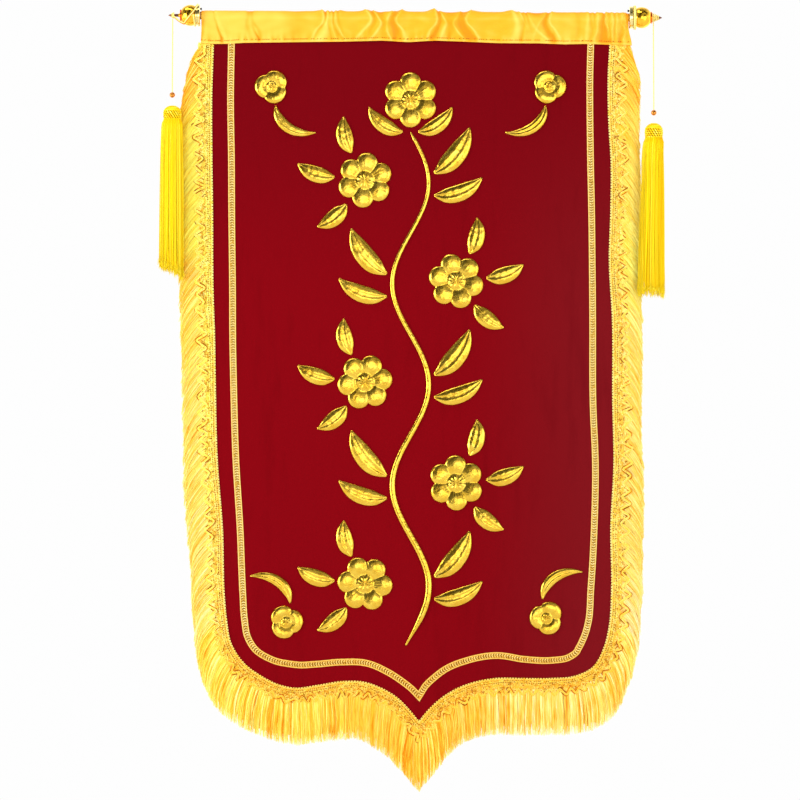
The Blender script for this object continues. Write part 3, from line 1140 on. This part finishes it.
# The collar's turnings: share of its length, and how much less than its radius
collarTurns = ((0, 1.4), (0.04, 0.5), (0.1, 0), (0.44, 0), (0.5, 0.5), (0.55, 2.2), (0.66, 2.2), (0.7, 0.9),
               (0.76, 0.5), (0.92, 0.5), (0.97, 1.2))
screwProfile = ((0, 0.05, 0), (0, 1.3, 0), (0.4, 1.75, 0), (2.0, 1.75, 0), (2.0, 0.9, 0), (3.2, 0.9, 0),
                (3.2, 0.05, 0))


def lathe(name, profile, x, way, finishes, node=None, steps=56, offset=(0, 0, 0)):
    # profile rows are distance out, radius and finish
    out, radius, slots = np.array(profile).T
    turn = np.linspace(0, fullTurn, steps, endpoint=False)
    alongX = (x + way * out)[:, None]
    places = np.broadcast_arrays(alongX, radius[:, None] * np.sin(turn),
                                 rodHeight(alongX) + radius[:, None] * np.cos(turn))
    verts = (np.stack(places, -1) + np.array(offset)).reshape(-1, 3) * mm
    index = gridOf(len(out), steps)
    form = (verts, [ringWalls(index), index[:1], index[-1:, ::-1]], None)
    piece = addPiece(name, form, finishes, node, sharp=32)
    slots = np.concatenate([np.repeat(slots[1:], steps), slots[[0, -1]]]).astype(int)
    piece.data.polygons.foreach_set("material_index", slots)


def finialProfile(finial):
    collar, radius, thin, ring = finial["collar"], ball["radius"], ball["spike"], ball["ring"]
    middle = collar + math.sqrt(radius**2 - ball["neck"] ** 2)
    ringAt = middle + math.sqrt(radius**2 - ring**2)
    tip = middle + radius + finial["spike"]
    rows = [(ball["depth"], 0.05, 1), (ball["depth"], ball["socket"], 1), (0, ball["socket"], 1)]
    rows += [(share * collar, ball["collar"] - less, 1) for share, less in collarTurns]
    rows.append((collar, ball["neck"], 1))
    turns = np.linspace(math.asin(ball["neck"] / radius), math.pi - math.asin(ring / radius), 30)
    rows += [(middle - radius * math.cos(turn), radius * math.sin(turn), 0) for turn in turns[1:]]
    neck = ((0.2, ring + 0.5, 2), (1.6, ring + 0.5, 2), (2.0, ring - 0.4, 2), (2.2, thin + 2.6, 2),
            (3.0, thin + 0.9, 0), (4.4, thin + 0.6, 0), (4.8, thin, 3))
    rows += [(ringAt + out, size, slot) for out, size, slot in neck]
    return rows + [(tip - finial["spike"] * 0.25, thin - 0.2, 3), (tip - 0.8, 0.9, 3), (tip, 0.05, 3)]


for finial in finials:
    way, word = finial["way"], finial["side"].title()
    lathe("finial" + word, finialProfile(finial), finial["face"], way,
          [goldPlate, palePlate, amberPlate, bronzeTip], "finial_" + finial["side"])
    # a small black screw in the collar's inner face
    lathe("screw" + word, screwProfile, finial["face"] - way * 2.6, way, [blackScrew], steps=24,
          offset=(0, -4.5, finial["screwZ"]))
print("finials made")


# Windings, tassel cords, beads and loops

tasselHues = paints((252, 160, 2), (255, 205, 6), (255, 226, 22), (255, 240, 70))
windingHues = paints((232, 170, 60), (248, 214, 96), (253, 234, 140), (255, 246, 190))
tieHues = paints((222, 96, 20), (240, 150, 36), (250, 200, 70))
winding = {"radius": 0.95, "pitch": 3.4}
windingSection = ((-1, -0.5, -0.1, 0.3, 0.6, 1), (0.92, 1.0, 0.84, 0.86, 0.66, 0.6))
string = {"radius": 1.0, "pitch": 4.2, "tone": 0.62}
beads = {"radius": 4.3, "hole": 0.8, "holeHalf": 3.6}
loops = {"halfWide": 3.6, "radius": 0.5}
loopShape = ((-1, 1), (-0.95, 0.6), (-0.5, 0.15), (0, 0), (0.5, 0.15), (0.95, 0.6), (1, 1))


def plied(points, radius, tone, pitch, seed, hues=windingHues):  # a two-ply cord as one lobed tube
    length = runLength(points)[-1]
    points = inPoints(points, int(length / pitch * 8) + 8)
    turn = fullTurn * np.linspace(0, length, len(points)) / pitch
    lobes = 1 - 0.24 * np.abs(np.sin(np.arange(8) * fullTurn / 8))
    tones = tone + 0.14 * np.cos(2 * turn) + np.random.default_rng(seed).normal(0, 0.05, len(points))
    radii = radius * lobes * np.ones((1, len(points), 1)) * mm
    return tubes(points[None] * mm, radii, 8, turn[None], rampOf(unitRange(tones), hues)[None])


def tieRoute():  # from the spike under the left ball, up across it and round the neck
    centre, lift = -345.06, ball["radius"] + 0.75
    onBall = lambda px, pz: (px, -math.sqrt(max(lift**2 - (px - centre) ** 2 - (pz - 1.76) ** 2, 0.3)), pz)
    route = [(-371, -3.4, 0.5), (-368.3, -4.2, -1.5), (-363.5, -5.6, -5.6), (-358.5, -6.4, -8.9),
             (-354.6, -8.6, -10.6), onBall(-351.4, -7.2), onBall(-346.6, -1.8), onBall(-341.6, 4.2),
             onBall(-337.6, 10.0), (-334.6, -11.6, 14.4), (-334.0, -5.0, 18.0), (-334.0, 3.5, 18.4),
             (-334.6, 11.5, 14.6), (-336.6, 15.4, 8.0), (-338.4, 15.6, 0.0), (-338.8, 12.0, -9.8),
             (-338.2, 3.0, -14.2), (-337.9, -5.0, -13.8), (-338.3, -11.6, -9.4), (-339.2, -15.4, -3.6),
             (-340.2, -16.9, 2.2)]
    return smoothCurve(route, 3, 170)


def wound(x, out, angle):  # a line wound round the rod's axis
    return np.column_stack([x, out * np.sin(angle), rodHeight(x) + out * np.cos(angle)])


def windingParts(tassel):
    way, turns, radius, pitch = tassel["way"], tassel["turns"], winding["radius"], winding["pitch"]
    t = np.linspace(-1, 1, turns * 26)
    half = tassel["windingLength"] / 2 - radius * 0.8 + (2.0 if way > 0 else 0)
    around = tassel["windingRadius"] * np.interp(t, *windingSection) - radius
    if way > 0:
        around = 7.6 - 4.6 * (t + 1) / 2 - radius * 0.5
    x = tassel["windingX"] + way * half * t
    parts = [plied(wound(x, around, t * math.pi * turns), radius, 0.6, pitch, 3),
             plied(wound(x, around - 1.3, -t * math.pi * turns * 0.7 + 1), radius, 0.5, pitch, 4)]
    if way < 0:
        line = tieRoute()
        parts.append(plied(line, 1.15, 0.66, 3.8, 5))
        parts.append(plied(line[:62] + np.array([0.4, 0.9, -1.7]), 0.95, 0.42, 3.8, 6, tieHues))
    else:  # two turns of the tie round the neck
        angle, out = np.linspace(0, fullTurn, 90), ball["collar"] + 0.3
        for x, tone in ((336.6, 0.72), (338.4, 0.55)):
            line = (wound(x + 0 * angle, out, angle)
                    + np.column_stack([0.3 * np.sin(angle), 0 * angle, 0 * angle]))
            parts.append(plied(line, 1.05, tone, 3.6, 7))
    return parts


def beadForm(tassel, depth):  # turned, with a hole through it
    turns = np.linspace(0.24, math.pi - 0.24, 20)
    spin = np.linspace(0, fullTurn, 32, endpoint=False)
    radius, hole, half = beads["radius"], beads["hole"], beads["holeHalf"]
    rows = [(radius * math.sin(a), radius * math.cos(a)) for a in turns] + [(hole, -half), (hole, half)]
    verts = np.array([[(r * math.cos(a) + tassel["x"], r * math.sin(a) + depth, h - tassel["bead"])
                       for a in spin] for r, h in rows])
    index = gridOf(len(rows), 32)
    return verts.reshape(-1, 3) * mm, [ringWalls(np.vstack([index, index[:1]]))], None


for tassel in tasselSets:
    side, word, x = tassel["side"], tassel["side"].title(), tassel["x"]
    addPiece("winding" + word, joined(windingParts(tassel)), tasselSilk, "winding_" + side)
    depth = tasselLean - 1.5
    # the cord, straight down from the winding's underside with a slight lean forwards
    top, foot = -rodHeight(x) + tassel["windingRadius"] + 0.3, tassel["bead"] - 4.6
    t = np.linspace(0, 1, 90)
    line = np.column_stack([x + 0 * t, tasselLean * ease(t) - 1.5, -(top + (foot - top) * t)])
    cord = addPiece("tasselCord" + word, plied(line, string["radius"], string["tone"], string["pitch"], 9),
                    tasselSilk, "tassel_string_" + side)
    bead = addPiece("bead" + word, beadForm(tassel, depth), beadPlate, "bead_" + side, sharp=40)
    # clear loop between the bead and the head
    high, low = tassel["bead"] + 5.1, tassel["head"] - 0.6
    loopLine = [(x + loops["halfWide"] * u, depth, -(high + (low - high) * v)) for u, v in loopShape]
    loopForm = tubes(smoothCurve(loopLine, 3, 60)[None] * mm, loops["radius"] * mm, 10)
    loop = addPiece("loop" + word, loopForm, clearLoop, "loop_" + side)
print("windings and tassel cords made")


# Tassels

head = {"radius": 13.8, "flat": 0.85, "turns": 5, "knotRows": 5, "knots": 20,
        "profile": ((0.0, 0.06, 0.16, 0.3, 0.5, 0.72, 0.9, 1.0),
                    (0.36, 0.56, 0.78, 0.92, 1.0, 1.0, 0.97, 0.93))}
knotHues = paints((150, 78, 0), (246, 178, 8), (255, 222, 26), (255, 242, 90))
# rings of the skirt: count, share of the girth, radius, stations, sides, sway, tone and frayed hairs for
# each cord
skirtRings = ((40, 0.96, 1.3, 24, 4, 0.3, 0.62, 7), (120, 1.03, 0.5, 18, 3, 0.8, 0.7, 1))


# a closed turned form; point gives x, y and -drop from share and angle
def lathed(point, rows, steps, tone, hues):
    v = np.linspace(0, 1, rows)[:, None]
    a = np.linspace(0, fullTurn, steps, endpoint=False)[None]
    shell = point(v + 0 * a, a + 0 * v).reshape(-1, 3) * mm
    index = gridOf(rows, steps)
    after = np.roll(index, -1, axis=1)
    faces = [quads(index[:-1], after[:-1], after[1:], index[1:]), index[:1, ::-1], index[-1:]]
    return shell, faces, np.broadcast_to(rampOf(np.array(tone), hues), (len(shell), 3))


def tasselParts(tassel):
    chance = np.random.default_rng(tassel["seed"])
    depth, height = tasselLean - 1.5, tassel["skirt"] - tassel["head"]
    flat = lambda r, a, drop: np.stack([tassel["x"] + r * np.cos(a), depth + head["flat"] * r * np.sin(a),
                                        -drop + 0 * a], -1)
    across = lambda v: head["radius"] * through(v, *head["profile"])
    normal = lambda by, count: chance.normal(0, by, count)[:, None]
    # the head: a shaded core, turns of cord over the crown and slanting knots below them
    headCore = lambda v, a: flat(across(v) - 1.5, a, tassel["head"] + 1.1 + height * v * 0.97)
    parts = [lathed(headCore, 16, 32, 0.0, knotHues)]
    a = np.linspace(0, fullTurn, 49)
    for k in range(head["turns"]):
        v = 0.02 + 0.26 * k / (head["turns"] - 1)
        line = flat(float(across(v)) - 0.85 + 0 * a, a, tassel["head"] + 0.2 + height * v)
        tone = unitRange(0.72 - 0.2 * (k % 2) + 0.12 * np.cos(2 * a + k))
        parts.append(tubes(line[None] * mm, 0.95 * mm, 5, tints=rampOf(tone, knotHues)[None]))
    v = np.linspace(0, 1, 5)[None]
    for k in range(head["knotRows"]):
        a = ((np.arange(head["knots"]) + 0.5 * (k % 2))[:, None] * fullTurn / head["knots"]
             + 0.24 * (v - 0.5))
        share = 0.29 + 0.145 * k + 0.12 * v
        line = flat(across(share) - 0.9, a, tassel["head"] + height * share)
        tone = unitRange(0.72 + normal(0.12, head["knots"]))
        parts.append(tubes(line * mm, np.array([0.6, 1.25, 1.35, 1.25, 0.6]) * mm, 6,
                           tints=rampOf(tone, knotHues)))
    # the skirt: a shaded core inside rings of cords and loose threads, each frayed at its end
    start, full = tassel["skirt"] - 1.5, tassel["end"] - tassel["skirt"]
    neck, (still, swung) = head["radius"] * 0.9, tassel["swing"]
    girth = lambda t: neck + (np.interp(t, (0.05, 0.5, 1.0), tassel["spread"]) - neck) * ease(t / 0.045)
    aside = lambda t: (still + (swung - still) * t) * ease(t * 12)
    skirtCore = lambda v, a: (flat((girth(v) - 2.4) * (1 - 0.5 * v**8), a, start + (full - 10) * v)
                              + np.stack([aside(v), 0 * v, 0 * v], -1))
    parts.append(lathed(skirtCore, 24, 24, 0.4, tasselHues))
    for count, share, thick, stations, sides, loose, tone, hairs in skirtRings:
        a = ((np.arange(count) + chance.uniform(-0.3, 0.3, count)) * fullTurn / count)[:, None]
        share = share * chance.uniform(0.97, 1.02, count)[:, None]
        t = np.linspace(0, 1, stations)[None] ** 1.6
        sway = loose * (normal(1.0, count) * np.sin(math.pi * t) + normal(1.2, count) * t)
        x = girth(t) * share * np.cos(a) + sway * ease(t * 5)
        y = head["flat"] * girth(t) * share * np.sin(a)
        drop = start + (full + tassel["slant"] * x[:, -1:] + normal(1.6, count) - 5) * t
        line = np.stack([tassel["x"] + x + aside(t), depth + y, -drop], -1)
        tones = tone + normal(0.13, count) - 0.1 * np.cos(a) - 0.25 * (1 - ease(t * 14))
        parts.append(tubes(line * mm, thick * (1 - 0.25 * t**6) * mm, sides,
                           tints=rampOf(unitRange(tones), tasselHues)))
        t = np.linspace(0, 1, 4)[None, :, None]
        every = count * hairs
        root = np.repeat(line[:, -1], hairs, axis=0) + chance.normal(0, 0.6, (every, 3))
        fall = np.column_stack([chance.normal(0, 1.3, every), chance.normal(0, 1.0, every),
                                -chance.uniform(3, 9.5, every)])
        above = np.array([0, 0, 5.0])
        hair = root[:, None] + above + (fall[:, None] - above) * t
        tones = unitRange(tone + 0.1 + normal(0.14, every))
        parts.append(tubes(hair * mm, np.array([0.4, 0.38, 0.32, 0.18]) * mm, 3,
                           tints=rampOf(tones, tasselHues)))
    return parts


for tassel in tasselSets:
    addPiece("tassel" + tassel["side"].title(), joined(tasselParts(tassel)), tasselSilk,
             "tassel_" + tassel["side"])
print("tassels made")


# The rod keeps its own shape and takes its finish

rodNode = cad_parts["rod"]
rodNode.data.materials.clear()
rodNode.data.materials.append(rodWood)


# What is declared as cloth


# Floor and light

studio = {"floor": -1.27, "room": 1.16, "dim": 0.44}
softboxes = (  # name, place, what it points at, width, height and power
    ("keyLeft", (-2.5, -1.6, -0.3), (0, 0, -0.6), 1.2, 1.8, 30.0),
    ("fillRight", (2.0, -2.3, -0.45), (0, 0, -0.6), 1.3, 1.6, 14.0),
    ("topStrip", (-0.3, -0.7, 1.5), (0, 0, -0.1), 1.4, 0.5, 5.0),
)
# what bright metal sees: direction, how wide its edge starts and ends (as a cosine) and brightness
reflections = (
    ((-0.62, -0.25, -0.74), 0.55, 0.86, 2.4), ((-0.88, -0.44, -0.12), 0.9, 0.96, 2.2),
    ((-0.48, -0.07, 0.87), 0.965, 0.985, 3.0), ((0.12, -0.99, -0.14), 0.95, 0.978, 2.7),
    ((0.9, 0.2, -0.3), 0.35, 0.85, 0.9), ((0.1, 0.98, 0.1), 0.0, 0.8, 0.9),
    ((0.3, -0.3, -0.9), 0.7, 0.95, 0.6), ((0.0, -0.2, 0.98), 0.2, 0.95, -0.27),
    ((-0.6, -0.75, 0.28), 0.82, 0.93, -0.26),
)

floorMesh = bpy.data.meshes.new("paleFloor")
corners = [(x, y, studio["floor"]) for x, y in ((-4, -5), (4, -5), (4, 0.6), (-4, 0.6))]
floorMesh.from_pydata(corners, [], [(0, 1, 2, 3)])
floorPaint = newFinish("paleFloor", (0.86, 0.86, 0.85), 0.8)
raiseBy(floorPaint, addNoise(floorPaint, 40, 3), 0.0005, 0.2)
floorMesh.materials.append(floorPaint)
floor = addObject("paleFloor", floorMesh)
floor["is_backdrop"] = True

for name, place, target, width, height, power in softboxes:
    light = bpy.data.lights.new(name, "AREA")
    light.shape = "RECTANGLE"
    light.size, light.size_y, light.energy = width, height, power
    lamp = addObject(name, light)
    lamp.location = place
    lamp.rotation_euler = (Vector(target) - Vector(place)).to_track_quat("-Z", "Y").to_euler()

world = bpy.data.worlds.new("studio")
bpy.context.scene.world = world
world.use_nodes = True
world.node_tree.nodes.clear()
direction = addNode(world, "ShaderNodeTexCoord")["Generated"]
mottle = addNode(world, "ShaderNodeTexNoise", {"Vector": direction, "Scale": 3.2, "Detail": 2.0})["Fac"]
total = addNode(world, "ShaderNodeMapRange",
                {"Value": mottle, "From Min": 0.35, "From Max": 0.65, "To Min": 0.1,
                 "To Max": 2 * studio["dim"]})["Result"]
for toward, start, end, strength in reflections:
    facing = addNode(world, "ShaderNodeVectorMath", {0: direction, 1: Vector(toward).normalized()},
                     operation="DOT_PRODUCT")
    patch = addNode(world, "ShaderNodeMapRange",
                    {"Value": facing["Value"], "From Min": start, "From Max": end, "To Min": 0.0,
                     "To Max": strength}, interpolation_type="SMOOTHSTEP")
    total = addUp(world, total, patch["Result"])
total = addNode(world, "ShaderNodeMath", {0: total, 1: 0.03}, operation="MAXIMUM")[0]
rays = addNode(world, "ShaderNodeLightPath")
strength = addNode(world, "ShaderNodeMix", {0: rays["Is Glossy Ray"], 2: studio["room"], 3: total},
                   data_type="FLOAT")[0]
lit = addNode(world, "ShaderNodeBackground", {"Color": (1.0, 0.985, 0.955), "Strength": strength})[0]
plain = addNode(world, "ShaderNodeBackground", {"Color": (0.99, 0.99, 0.99), "Strength": 1.0})[0]
either = addNode(world, "ShaderNodeMixShader", {0: rays["Is Camera Ray"], 1: lit, 2: plain})[0]
addNode(world, "ShaderNodeOutputWorld", {"Surface": either})
print("floor and light set")


# Size of what was made beside the frame's own

bpy.context.view_layer.update()
low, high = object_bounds()
